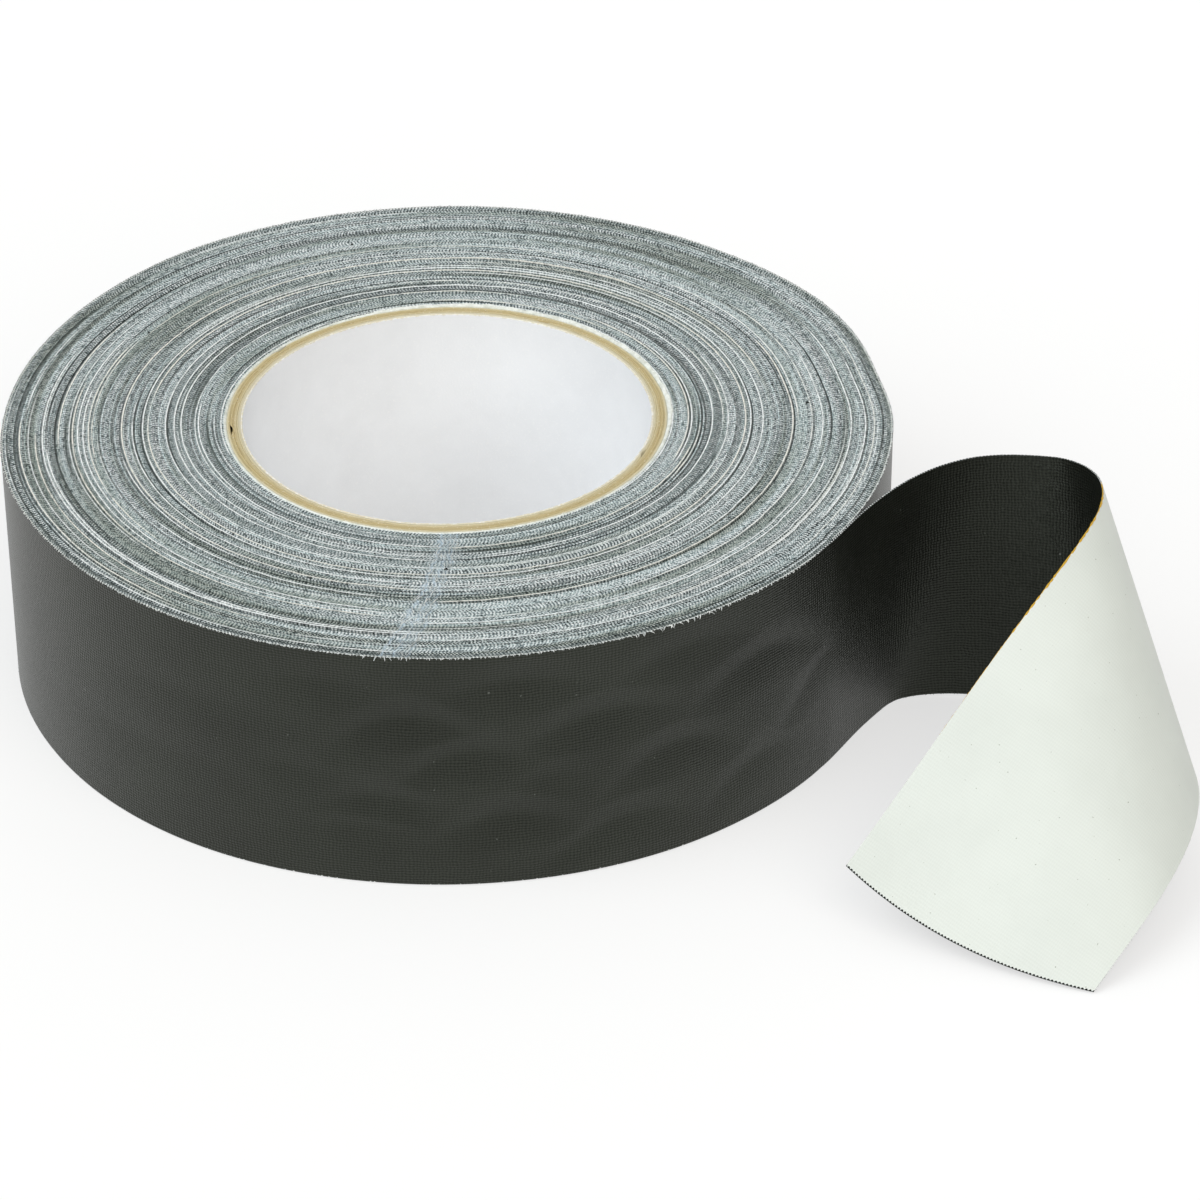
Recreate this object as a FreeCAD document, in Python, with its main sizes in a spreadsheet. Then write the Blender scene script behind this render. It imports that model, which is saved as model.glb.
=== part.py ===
import FreeCAD, Part
import Sketcher
import math
import os
from FreeCAD import Placement, Rotation, Vector

# A roll of 48 mm cloth tape on a spiral-wound paper core, lying flat.  Its end is peeled
# off the side of the roll, curls outward and folds over onto the table.
# The origin is on the core's axis at the bottom face, with +Z up along the bore.

doc = FreeCAD.newDocument("TapeRoll")

# ---------------------------------------------------------------- driving sizes (mm, degrees)
sheet = doc.addObject("Spreadsheet::Sheet", "Sizes")

sizes = [
    # the web and its three layers
    ("web_width", 48),
    ("adhesive_layer", 0.10),
    ("cloth_layer", 0.14),
    ("coat_layer", 0.08),
    # the paper core, from the bore outward
    ("core_bore", 76.2),
    ("liner_wall", 0.35),
    ("ply_wall", 0.66),
    ("facing_wall", 0.5),
    # the butt gap between neighbouring edges of one spiral-wound ply
    ("seam_gap", 0.5),
    ("seam_pitch", 110),
    ("seam_stagger", 97),
    # the roll
    ("wound_radius", 82),
    ("peel_azimuth", -32),
    # the peeled tail
    ("tail_length", 160.5),
    ("tail_lift", 0.1),
    ("peel_clearance", 0.1),
    ("hinge_gap", 0.3),
    ("cut_slant", 7.4),
    ("cut_bow", 3.4),
    ("corner_nip", 0.5),
    ("bend_step", 16),
    ("fold_spacing", 2),
]

for row, (alias, value) in enumerate(sizes, start=1):
    sheet.set("A%d" % row, alias)
    sheet.set("B%d" % row, str(value))
    sheet.setAlias("B%d" % row, alias)

# How the tail bends: one row at every bend_step along its middle line.
# turn: degrees of bend over one bend_step at that rate, negative away from the roll.
# lean: how far the bend's own line tips from square across the web, in degrees.
bends = [
    # turn, lean
    (0, 0),
    (-7.2, 8),
    (-60.8, -15),
    (-19.2, -13),
    (-36, 15.5),
    (-28, 26.5),
    (-21.6, 35.5),
    (-23.2, 44),
    (-15.2, 42.5),
    (-6.4, 39),
    (5.6, 25.5),
]

for row, (turn, lean) in enumerate(bends, start=1):
    sheet.set("D%d" % row, str(turn))
    sheet.setAlias("D%d" % row, "turn_%d" % row)
    sheet.set("E%d" % row, str(lean))
    sheet.setAlias("E%d" % row, "lean_%d" % row)

doc.recompute()

plyCount = 4

# Sketches are drawn at these sizes first; their constraints then take the exact ones.
boreRadius = sheet.get("core_bore") / 2
woundRadius = sheet.get("wound_radius")
webThickness = sheet.get("adhesive_layer") + sheet.get("cloth_layer") + sheet.get("coat_layer")

# Radii written as expressions on the sheet, each built on the one inside it.
linerInner = "Sizes.core_bore / 2"
linerOuter = linerInner + " + Sizes.liner_wall"
plyOuter = [linerOuter + " + %d * Sizes.ply_wall" % count for count in range(plyCount + 1)]
coreOuter = plyOuter[plyCount] + " + Sizes.facing_wall"

# Heights of the web's layer faces, measured outward from the adhesive's inner face.
adhesiveFace = "0"
clothInner = "Sizes.adhesive_layer"
clothOuter = clothInner + " + Sizes.cloth_layer"
coatFace = clothOuter + " + Sizes.coat_layer"


# ---------------------------------------------------------------- helpers
def originPlane(body, role):
    for feature in body.Origin.OriginFeatures:
        if feature.Role == role:
            return feature


def newSketch(body, name, role):
    sketch = body.newObject("Sketcher::SketchObject", name)
    sketch.AttachmentSupport = [(originPlane(body, role), "")]
    sketch.MapMode = "FlatFace"
    return sketch


def bindLast(sketch, constraint, expression):
    index = sketch.addConstraint(constraint)
    sketch.setExpression("Constraints[%d]" % index, expression)


def addCircle(sketch, startRadius, expression):
    circle = sketch.addGeometry(Part.Circle(Vector(), Vector(0, 0, 1), startRadius))
    sketch.addConstraint(Sketcher.Constraint("Coincident", circle, 3, -1, 1))
    bindLast(sketch, Sketcher.Constraint("Radius", circle, startRadius), expression)


def padWebWidth(body, sketch):
    pad = body.newObject("PartDesign::Pad", body.Label + "_pad")
    pad.Profile = sketch
    pad.setExpression("Length", "Sizes.web_width")
    body.Tip = pad
    return pad


# ---------------------------------------------------------------- paper core
def paperTube(label, inner, outer):
    body = doc.addObject("PartDesign::Body", label)
    body.Label = label
    sketch = newSketch(body, label + "_ring", "XY_Plane")
    addCircle(sketch, boreRadius, inner)
    addCircle(sketch, boreRadius + sheet.get("ply_wall"), outer)
    padWebWidth(body, sketch)
    return body


def woundPly(label, inner, outer, index):
    # A spiral-wound strip of kraft: a tube with one helical gap where the strip's edges meet.
    body = paperTube(label, inner, outer)
    doc.recompute()
    tubeVolume = body.Shape.Volume
    slit = newSketch(body, label + "_slit", "XZ_Plane")
    slitWidth = sheet.get("seam_gap")
    slitDepth = 2 * sheet.get("ply_wall")
    low = Vector(boreRadius, -2 * slitWidth, 0)
    corners = [low, low + Vector(slitDepth, 0, 0), low + Vector(slitDepth, slitWidth, 0),
               low + Vector(0, slitWidth, 0)]
    for start in range(4):
        slit.addGeometry(Part.LineSegment(corners[start], corners[(start + 1) % 4]))
    for start in range(4):
        slit.addConstraint(Sketcher.Constraint("Coincident", start, 2, (start + 1) % 4, 1))
    slit.addConstraint(Sketcher.Constraint("Horizontal", 0))
    slit.addConstraint(Sketcher.Constraint("Horizontal", 2))
    slit.addConstraint(Sketcher.Constraint("Vertical", 1))
    slit.addConstraint(Sketcher.Constraint("Vertical", 3))
    # the slit's profile overshoots the wall by half a wall on each side
    bindLast(slit, Sketcher.Constraint("DistanceX", -1, 1, 0, 1, boreRadius),
             inner + " - Sizes.ply_wall / 2")
    bindLast(slit, Sketcher.Constraint("DistanceX", -1, 1, 0, 2, boreRadius + slitDepth),
             outer + " + Sizes.ply_wall / 2")
    bindLast(slit, Sketcher.Constraint("DistanceY", 0, 1, -1, 1, 2 * slitWidth),
             "2 * Sizes.seam_gap")
    bindLast(slit, Sketcher.Constraint("DistanceY", 1, 1, 1, 2, slitWidth), "Sizes.seam_gap")
    doc.recompute()
    seam = body.newObject("PartDesign::SubtractiveHelix", label + "_seam")
    seam.Profile = slit
    seam.ReferenceAxis = (slit, ["V_Axis"])
    seam.Mode = "pitch-height-angle"
    seam.setExpression("Pitch", "Sizes.seam_pitch")
    seam.setExpression("Height", "Sizes.web_width + 3 * Sizes.seam_gap")
    body.Tip = seam
    body.Placement = Placement(Vector(), Rotation(Vector(0, 0, 1), 1))
    body.setExpression("Placement.Rotation.Angle", "%d * Sizes.seam_stagger" % index)
    doc.recompute()
    if body.Shape.Volume >= tubeVolume:
        raise RuntimeError(label + ": the seam cut nothing")
    return body


parts = [paperTube("core_liner", linerInner, linerOuter)]
for index in range(plyCount):
    label = "core_ply_%d" % (index + 1)
    parts.append(woundPly(label, plyOuter[index], plyOuter[index + 1], index))
parts.append(paperTube("core_facing", plyOuter[plyCount], coreOuter))


# ---------------------------------------------------------------- wound tape
# One turn of the spiral is two half circles.  Their centres lie a quarter of the tape's
# thickness either side of the axis, on the line through the peel, so the radius grows by
# one thickness in a full turn and the halves meet without a corner.
thickness = "(" + coatFace + ")"


def addHalfTurns(sketch, face):
    circle = Part.Circle(Vector(), Vector(0, 0, 1), woundRadius)
    near = sketch.addGeometry(Part.ArcOfCircle(circle, 0, math.pi))
    far = sketch.addGeometry(Part.ArcOfCircle(circle, math.pi, 2 * math.pi))
    shift = webThickness / 4
    for arc in (near, far):
        sketch.addConstraint(Sketcher.Constraint("PointOnObject", arc, 3, -1))
        sketch.addConstraint(Sketcher.Constraint("PointOnObject", arc, 1, -1))
    sketch.addConstraint(Sketcher.Constraint("PointOnObject", far, 2, -1))
    sketch.addConstraint(Sketcher.Constraint("Coincident", near, 2, far, 1))
    bindLast(sketch, Sketcher.Constraint("DistanceX", near, 3, -1, 1, shift), thickness + " / 4")
    bindLast(sketch, Sketcher.Constraint("Radius", near, woundRadius),
             "Sizes.wound_radius + " + thickness + " / 4 + " + face)
    bindLast(sketch, Sketcher.Constraint("DistanceX", -1, 1, far, 3, shift), thickness + " / 4")
    return near, far


def addEndLine(sketch, firstArc, firstEnd, secondArc, secondEnd, start):
    ends = (Vector(start, 0, 0), Vector(start + webThickness / 2, 0, 0))
    line = sketch.addGeometry(Part.LineSegment(*ends))
    sketch.addConstraint(Sketcher.Constraint("Coincident", line, 1, firstArc, firstEnd))
    sketch.addConstraint(Sketcher.Constraint("Coincident", line, 2, secondArc, secondEnd))


def turnToPeel(body):
    body.Placement = Placement(Vector(), Rotation(Vector(0, 0, 1), -1))
    body.setExpression("Placement.Rotation.Angle", "Sizes.peel_azimuth")


def woundTurns():
    # All the turns under the last one, with the step where the last one starts.
    body = doc.addObject("PartDesign::Body", "wound_turns")
    body.Label = "wound_turns"
    sketch = newSketch(body, "wound_outline", "XY_Plane")
    near, far = addHalfTurns(sketch, adhesiveFace)
    addEndLine(sketch, near, 1, far, 2, woundRadius)
    addCircle(sketch, boreRadius, coreOuter)
    padWebWidth(body, sketch)
    turnToPeel(body)
    return body


def lastTurnLayer(label, inner, outer):
    body = doc.addObject("PartDesign::Body", label)
    body.Label = label
    sketch = newSketch(body, label + "_band", "XY_Plane")
    innerNear, innerFar = addHalfTurns(sketch, inner)
    outerNear, outerFar = addHalfTurns(sketch, outer)
    addEndLine(sketch, innerNear, 1, outerNear, 1, woundRadius)
    addEndLine(sketch, innerFar, 2, outerFar, 2, woundRadius + webThickness)
    padWebWidth(body, sketch)
    turnToPeel(body)
    return body


webLayers = [
    ("adhesive", adhesiveFace, clothInner),
    ("cloth", clothInner, clothOuter),
    ("coat", clothOuter, coatFace),
]

parts.append(woundTurns())
for name, inner, outer in webLayers:
    parts.append(lastTurnLayer("last_turn_" + name, inner, outer))


# ---------------------------------------------------------------- peeled tail
# The tail is flat tape bent in space.  Tape can't stretch, so it only bends about straight
# lines that lie in it.  It is folded a little at each of a close row of such bend lines, and
# stays flat between them.  Each layer is the same set of folds at its own height.
halfWidth = sheet.get("web_width") / 2
cutSlope = math.tan(math.radians(sheet.get("cut_slant")))


def tableAt(column, distance):
    last = len(bends) - 1
    place = min(distance / sheet.get("bend_step"), last)
    low = min(int(place), last - 1)
    start = sheet.get("%s_%d" % (column, low + 1))
    end = sheet.get("%s_%d" % (column, low + 2))
    return start + (end - start) * (place - low)


def leanSlope(distance):
    return math.tan(math.radians(tableAt("lean", distance)))


def cutAcross(distance):
    # where across the web the bend line at this distance meets the slanting, bowed cut
    slope = leanSlope(distance) + cutSlope
    bow = sheet.get("cut_bow")
    past = distance - sheet.get("tail_length") - bow
    return 2 * past / (slope + math.sqrt(slope ** 2 - 4 * bow * past / halfWidth ** 2))


def distanceToCorner(side):
    # the middle-line distance of the bend line that ends at one corner of the cut
    distance = sheet.get("tail_length")
    for attempt in range(40):
        distance = sheet.get("tail_length") + (leanSlope(distance) + cutSlope) * side * halfWidth
    return distance


def spread(start, end):
    count = max(1, math.ceil((end - start) / sheet.get("fold_spacing")))
    return [start + (end - start) * index / count for index in range(count)]


def foldTail():
    # Each fold is (upper end, lower end, outward), with outward long enough that a layer
    # offset along it keeps its thickness on both sides of the fold.
    lowCorner = distanceToCorner(-1)
    tip = distanceToCorner(1) - sheet.get("corner_nip")
    distances = spread(sheet.get("hinge_gap"), lowCorner) + spread(lowCorner, tip) + [tip]
    azimuth = math.radians(sheet.get("peel_azimuth"))
    radius = woundRadius + 1.5 * webThickness + sheet.get("peel_clearance")
    outward = Vector(math.cos(azimuth), math.sin(azimuth), 0)
    along = Vector(-outward.y, outward.x, 0)
    across = Vector(0, 0, 1)
    middle = outward * radius + Vector(0, 0, halfWidth + sheet.get("tail_lift"))
    walked = 0
    folds = []
    for index, distance in enumerate(distances):
        middle = middle + along * (distance - walked)
        walked = distance
        bendLine = across - along * leanSlope(distance)
        before = distances[max(index - 1, 0)]
        after = distances[min(index + 1, len(distances) - 1)]
        share = (after - before) / 2 / sheet.get("bend_step")
        angle = tableAt("turn", distance) * share * bendLine.Length
        fold = Rotation(bendLine, angle)
        turned = fold.multVec(outward)
        mitre = (outward + turned) * (1 / (1 + outward.dot(turned)))
        lowEnd = -halfWidth if distance <= lowCorner else cutAcross(distance)
        folds.append((middle + bendLine * halfWidth, middle + bendLine * lowEnd, mitre))
        along = fold.multVec(along)
        across = fold.multVec(across)
        outward = turned
    return folds


def flatFace(*corners):
    return Part.Face(Part.makePolygon(list(corners) + [corners[0]]))


def tailLayer(label, folds, inner, outer):
    rings = []
    for high, low, mitre in folds:
        rings.append((high + mitre * inner, low + mitre * inner,
                      low + mitre * outer, high + mitre * outer))
    faces = [flatFace(*rings[0]), flatFace(*rings[-1])]
    for ring, following in zip(rings, rings[1:]):
        highInner, lowInner, lowOuter, highOuter = ring
        nextHighInner, nextLowInner, nextLowOuter, nextHighOuter = following
        faces.append(flatFace(highInner, lowInner, nextLowInner, nextHighInner))
        faces.append(flatFace(highOuter, lowOuter, nextLowOuter, nextHighOuter))
        faces.append(flatFace(highInner, highOuter, nextHighInner))
        faces.append(flatFace(highOuter, nextHighOuter, nextHighInner))
        faces.append(flatFace(lowInner, lowOuter, nextLowInner))
        faces.append(flatFace(lowOuter, nextLowOuter, nextLowInner))
    sewn = Part.makeCompound(faces)
    sewn.sewShape()
    layer = doc.addObject("Part::Feature", label)
    layer.Label = label
    layer.Shape = Part.makeSolid(sewn.Shells[0])
    layer.Placement = Placement()
    return layer


tailFolds = foldTail()
layerFace = -webThickness / 2
for name, inner, outer in webLayers:
    nextFace = layerFace + sheet.get(name + "_layer")
    parts.append(tailLayer("tail_" + name, tailFolds, layerFace, nextFace))
    layerFace = nextFace

# ---------------------------------------------------------------- check and export
doc.recompute()

for item in doc.Objects:
    if "Invalid" in item.State or "Error" in item.State:
        raise RuntimeError(item.Label + " failed")

for part in parts:
    if part.Shape.isNull() or not part.Shape.isValid() or not part.Shape.Solids:
        raise RuntimeError(part.Label + " has no valid solid")

os.makedirs("parts", exist_ok=True)
for part in parts:
    part.Shape.exportStep("parts/%s.step" % part.Label)
    print(part.Label, round(part.Shape.Volume, 1))
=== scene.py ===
import math
from functools import partial

import bmesh
import bpy
import numpy as np
from mathutils import Matrix, Vector


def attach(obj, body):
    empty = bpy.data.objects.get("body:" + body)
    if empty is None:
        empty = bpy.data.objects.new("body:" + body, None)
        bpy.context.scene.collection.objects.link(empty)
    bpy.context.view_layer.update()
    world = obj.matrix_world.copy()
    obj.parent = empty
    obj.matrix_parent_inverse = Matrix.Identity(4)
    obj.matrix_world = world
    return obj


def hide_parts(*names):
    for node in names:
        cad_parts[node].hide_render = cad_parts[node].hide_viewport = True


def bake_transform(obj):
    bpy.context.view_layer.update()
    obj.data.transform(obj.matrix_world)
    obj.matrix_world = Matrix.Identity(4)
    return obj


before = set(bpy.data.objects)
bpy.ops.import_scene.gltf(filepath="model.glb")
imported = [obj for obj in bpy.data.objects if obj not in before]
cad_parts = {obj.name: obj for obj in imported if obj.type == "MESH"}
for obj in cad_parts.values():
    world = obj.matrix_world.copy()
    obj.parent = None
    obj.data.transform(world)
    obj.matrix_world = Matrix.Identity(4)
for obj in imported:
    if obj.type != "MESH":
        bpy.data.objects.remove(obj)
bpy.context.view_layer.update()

# A roll of black cloth tape on a paper core, its end peeled off and folded over.
# Sizes are in millimetres until a mesh is made, angles in degrees.

mm = 0.001


def tone(code):
    # sRGB hex to the linear colour that Blender's sockets take
    parts = [int(code[at:at + 2], 16) / 255 for at in (0, 2, 4)]
    return [p / 12.92 if p <= 0.04045 else ((p + 0.055) / 1.055) ** 2.4 for p in parts] + [1]


def feed(socket, value):
    # links an output, or a node's first output in use; sets any other value, a hex colour too
    if hasattr(value, "outputs"):
        value = next(output for output in value.outputs if output.enabled)
    if isinstance(value, bpy.types.NodeSocket):
        socket.id_data.links.new(value, socket)
    else:
        socket.default_value = tone(value) if isinstance(value, str) else value


def addNode(tree, kind, *inputs, stops=(), **settings):
    # inputs fill the node's sockets in their order; settings are its own properties, or its
    # sockets by name with _ for a space; stops are a ramp's; a Mix node mixes colours
    node = tree.nodes.new("ShaderNode" + kind)
    if kind == "Mix":
        node.data_type = "RGBA"
    for name in [name for name in settings if name in node.bl_rna.properties]:
        setattr(node, name, settings.pop(name))
    for name, value in settings.items():
        feed(node.inputs[name.replace("_", " ")], value)
    for socket, value in zip([socket for socket in node.inputs if socket.enabled], inputs):
        feed(socket, value)
    for step in range(2, len(stops)):
        node.color_ramp.elements.new(1)
    for at, (place, colour) in enumerate(stops):
        node.color_ramp.elements[at].position = place
        node.color_ramp.elements[at].color = tone(colour)
    return node


def newMaterial(name, **surface):
    # a Principled surface with its even values straight on its sockets, and its own addNode
    material = bpy.data.materials.new(name)
    material.use_nodes = True
    shader = material.node_tree.nodes["Principled BSDF"]
    for socket, value in surface.items():
        feed(shader.inputs[socket.replace("_", " ")], value)
    return material, shader, partial(addNode, material.node_tree)


def finishSurface(add, shader, colour, height, depth, strength=1.0):
    # feeds the surface its colour, and its relief from a height of 1 that is depth mm deep
    feed(shader.inputs["Base Color"], colour)
    relief = add("Bump", Strength=strength, Distance=depth * mm, Height=height)
    feed(shader.inputs["Normal"], relief)


def smoothStep(low, high, value):
    share = np.clip((np.asarray(value, float) - low) / (high - low), 0, 1)
    return share * share * (3 - 2 * share)


def makeMesh(name, points, faces, materials, faceMaterial=None, smooth=True, uv=None):
    # points in mm; uv is one pair for each face corner, in the faces' own order; a flat face
    # next to smooth ones keeps the edge between them sharp
    mesh = bpy.data.meshes.new(name)
    faces = np.asarray(faces, np.int32)
    mesh.vertices.add(len(points))
    mesh.vertices.foreach_set("co", (np.asarray(points, float) * mm).ravel())
    mesh.loops.add(faces.size)
    mesh.loops.foreach_set("vertex_index", faces.ravel())
    mesh.polygons.add(len(faces))
    mesh.polygons.foreach_set("loop_start", np.arange(0, faces.size, faces.shape[1]))
    mesh.polygons.foreach_set("use_smooth", np.broadcast_to(smooth, len(faces)).astype(bool))
    for material in materials:
        mesh.materials.append(material)
    if faceMaterial is not None:
        mesh.polygons.foreach_set("material_index", np.asarray(faceMaterial, np.int32))
    if uv is not None:
        layer = mesh.uv_layers.new(name="web")
        layer.uv.foreach_set("vector", np.asarray(uv, np.float32).ravel())
    mesh.update()
    mesh.validate()
    piece = bpy.data.objects.new(name, mesh)
    bpy.context.scene.collection.objects.link(piece)
    return piece


def closeShell(piece):
    # caps any open end with a flat face and turns every face outward
    shell = bmesh.new()
    shell.from_mesh(piece.data)
    openEdges = [edge for edge in shell.edges if edge.is_boundary]
    if openEdges:
        for face in bmesh.ops.holes_fill(shell, edges=openEdges, sides=0)["faces"]:
            face.smooth = False
    bmesh.ops.recalc_face_normals(shell, faces=shell.faces)
    shell.to_mesh(piece.data)
    shell.free()
    return piece


def closeEnds(values, margin=0.03):
    # adds a value close to each end, so that smooth shading doesn't bend round the edge there
    return np.concatenate([values[:1], [values[0] + margin], values[1:-1],
                           [values[-1] - margin], values[-1:]])


def gridFaces(rows, columns, start=0, joinRows=False, joinColumns=False):
    # quads of a grid whose points are stored row by row; joined, the first row or column
    # follows the last one again
    index = start + np.arange(rows * columns).reshape(rows, columns)
    if joinRows:
        index = np.concatenate([index, index[:1]])
    if joinColumns:
        index = np.concatenate([index, index[:, :1]], axis=1)
    quads = np.stack([index[:-1, :-1], index[:-1, 1:], index[1:, 1:], index[1:, :-1]], -1)
    return quads.reshape(-1, 4)


camera = {
    "place": (28.39, -765.74, 501.72),
    "target": (28.39, -26.46, 24.0),
    "roll": -0.156,
    "lens": 143.15,
    "sensor": 36,
    "nearest": 10,        # nothing nearer than this is drawn
}

lens = bpy.data.cameras.new("camera")
lens.lens = camera["lens"]
lens.sensor_width = camera["sensor"]
lens.clip_start = camera["nearest"] * mm
cameraObject = bpy.data.objects.new("camera", lens)
bpy.context.scene.collection.objects.link(cameraObject)
cameraPlace = Vector(camera["place"]) * mm
forward = (Vector(camera["target"]) * mm - cameraPlace).normalized()
right = forward.cross(Vector((0, 0, 1))).normalized()
up = right.cross(forward)
turn = math.radians(camera["roll"])
rolled = Matrix((right * math.cos(turn) + up * math.sin(turn),
                 up * math.cos(turn) - right * math.sin(turn), -forward))
cameraObject.matrix_world = Matrix.Translation(cameraPlace) @ rolled.transposed().to_4x4()
bpy.context.scene.camera = cameraObject
bpy.context.scene.view_settings.view_transform = "Standard"

studio = {
    "skyLow": 0.18,
    "skyHigh": 0.72,
    # name: (where it shines from, strength, softness in degrees, colour, seen in reflections)
    "lamps": {
        "keyLamp": ((-0.8, -0.35, 0.75), 1.3, 50, "f1f8fb", True),
        "fillLamp": ((0.35, -0.75, 0.7), 1.2, 60, "fffaf0", False),
    },
    "floorSize": 6000.0,
    "floorDrop": 0.3,     # how far the floor lies below the roll, so that they don't touch
    "floorGlow": 0.6,     # share of the floor's white that shadows leave alone
}

world = bpy.data.worlds.new("studio")
world.use_nodes = True
bpy.context.scene.world = world
background = world.node_tree.nodes["Background"]
feed(background.inputs["Color"], "ffffff")
# dim near the floor and bright overhead, as under a soft overhead light
add = partial(addNode, world.node_tree)
bearing = add("SeparateXYZ", add("TexCoord").outputs["Generated"])
feed(background.inputs["Strength"],
     add("MapRange", bearing.outputs["Z"], 0, 1, studio["skyLow"], studio["skyHigh"]))

for name, (source, power, softness, colour, reflected) in studio["lamps"].items():
    lamp = bpy.data.lights.new(name, "SUN")   # far away, so the whole floor is lit alike
    lamp.energy = power
    lamp.angle = math.radians(softness)
    lamp.color = tone(colour)[:3]
    lampObject = bpy.data.objects.new(name, lamp)
    lampObject.rotation_euler = Vector(source).to_track_quat("Z", "Y").to_euler()
    lampObject.visible_glossy = reflected
    bpy.context.scene.collection.objects.link(lampObject)

# Seamless paper sweep: matt, and as white as paper can be where it is looked at.
floorPaper, shader, add = newMaterial("seamlessBackgroundPaper", Roughness=0.9,
                                      Specular_IOR_Level=0.1)
rays = add("LightPath").outputs
seen = add("Math", rays["Is Camera Ray"], rays["Is Glossy Ray"], operation="MAXIMUM")
seenThrough = add("Math", seen, rays["Is Transmission Ray"], operation="MAXIMUM")
feed(shader.inputs["Base Color"], add("Mix", seenThrough, "e2e2e2", "ffffff"))
glow = add("Emission", Color="ffffff", Strength=1.0)
glowShare = add("Math", seenThrough, studio["floorGlow"], operation="MULTIPLY")
feed(floorPaper.node_tree.nodes["Material Output"].inputs["Surface"],
     add("MixShader", glowShare, shader, glow))

far, drop = studio["floorSize"] / 2, -studio["floorDrop"]
corners = [(-far, -far, drop), (far, -far, drop), (far, far, drop), (-far, far, drop)]
floorPiece = makeMesh("floor", corners, [(0, 1, 2, 3)], [floorPaper])
print("camera and studio")


# Sockets in their order: MapRange value, from min, from max, to min, to max; Mix factor, A, B.
# Noise scales are cells for each mm on the web's own map (mm along it, mm or turns across it),
# and cells for each metre where they take a position in space.
yarn = {
    "weft": 0.65,         # spacing of the threads across the web
    "warp": 0.42,         # spacing of the threads along it
    "coatCoarser": 1.3,   # the coat's grid is drawn this much coarser across, so that it shows
    "cutPitch": 0.632,    # teeth along the tail's cut, drawn half as coarse again to show
}


def weaveHeight(add, place, warp):
    # height of a plain weave, 0 to 1, at a place along and across the web in mm
    waves = []
    for way, pitch in (("X", yarn["weft"]), ("Y", warp)):
        angle = add("Math", place.outputs[way], 2 * math.pi / pitch, operation="MULTIPLY")
        waves.append(add("Math", angle, operation="SINE"))
    both = add("Math", *waves, operation="ADD")
    return add("Math", both, 0.25, 0.5, operation="MULTIPLY_ADD")


# Polyethylene film, extruded onto the cloth and calendered: a dull black skin that the
# weave shows through as a fine even grid, with a soft grey sheen at a low angle.
blackCoat, shader, add = newMaterial("calenderedPolyethylene", Roughness=0.33, IOR=1.51,
                                     Specular_IOR_Level=0.4, Specular_Tint="f4fbea")
flat = add("UVMap", uv_map="web")
# threads wander by up to a quarter of a millimetre
wander = add("TexNoise", flat, Scale=0.45, Detail=3)
sway = add("VectorMath", wander.outputs["Color"], (1.1, 0.7, 0), flat, operation="MULTIPLY_ADD")
weave = weaveHeight(add, add("SeparateXYZ", sway), yarn["warp"] * yarn["coatCoarser"])
# painted sheen: the coat's colour is lighter in clouds about 20 mm across; dust lies in a few pale
# specks 1 mm apart or more
cloud = add("TexNoise", flat, Scale=0.045, Detail=3, Roughness=0.6)
sheenCloudTone = add("Mix", add("MapRange", cloud, 0.35, 0.65), "242621", "2d302a")
threadTone = add("Mix", 1, sheenCloudTone, weave, blend_type="MULTIPLY")
dust = add("MapRange", add("TexNoise", flat, Scale=0.9, Detail=1), 0.79, 0.81, 0, 0.35)
dustTone = add("Mix", dust, threadTone, "8d918c")
grain = add("TexNoise", flat, Scale=2.6, Detail=2)
relief = add("Math", grain, 0.8, weave, operation="MULTIPLY_ADD")
finishSurface(add, shader, dustTone, relief, 0.085)

# Pale natural rubber adhesive, spread hot on the cloth: satin ivory with a green cast,
# the cloth's threads faint under it and a few specks of lint.
adhesive, shader, add = newMaterial("spreadRubberAdhesive", Roughness=0.5, IOR=1.52,
                                    Specular_IOR_Level=0.35)
flat = add("UVMap", uv_map="web")
weave = weaveHeight(add, add("SeparateXYZ", flat), yarn["warp"])
cloud = add("TexNoise", flat, Scale=0.06, Detail=4, Roughness=0.55)
cloudTone = add("ValToRGB", cloud, stops=[(0.3, "dadfd9"), (0.55, "dee3dd"), (0.8, "e1e6e0")])
speck = add("MapRange", add("TexNoise", flat, Scale=1.5, Detail=1), 0.76, 0.8)
speckTone = add("Mix", speck, cloudTone, "a9ada2")
threadShade = add("MapRange", weave, 0, 1, 0.95, 1)
threadTone = add("Mix", 1, speckTone, threadShade, blend_type="MULTIPLY")
pebble = add("TexNoise", flat, Scale=2.2, Detail=3)
relief = add("Math", pebble, 0.8, weave, operation="MULTIPLY_ADD")
finishSurface(add, shader, threadTone, relief, 0.05, 0.3)


def cutClothSurface(name, way, pitch):
    # cotton scrim seen where a knife cut it: matt off-white yarn ends with dark gaps between
    material, shader, add = newMaterial(name, Roughness=0.9, IOR=1.53, Specular_IOR_Level=0.15)
    place = add("SeparateXYZ", add("UVMap", uv_map="web"))
    phase = add("Math", place.outputs[way], 1 / pitch, operation="MULTIPLY")
    swing = add("Math", phase, 0.5, operation="PINGPONG")
    feed(shader.inputs["Base Color"],
         add("ValToRGB", swing, stops=[(0.28, "15181a"), (0.36, "f2f6f8")]))
    return material


# Woven cotton slit along the web, and the same cloth cut across it.
slitCloth = cutClothSurface("slitCottonScrim", "X", yarn["weft"])
cutCloth = cutClothSurface("crossCutCottonScrim", "Y", yarn["cutPitch"])

# Rubber adhesive squeezed out along a slit edge, where air has aged it: glossy amber brown.
agedRubber, shader, add = newMaterial("agedRubberEdge", Roughness=0.35, IOR=1.52)
streak = add("TexNoise", add("UVMap", uv_map="web"), Scale=1.1, Detail=2)
feed(shader.inputs["Base Color"],
     add("ValToRGB", streak, stops=[(0.3, "8c6a12"), (0.5, "d2a62c"), (0.7, "f2d672")]))

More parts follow.
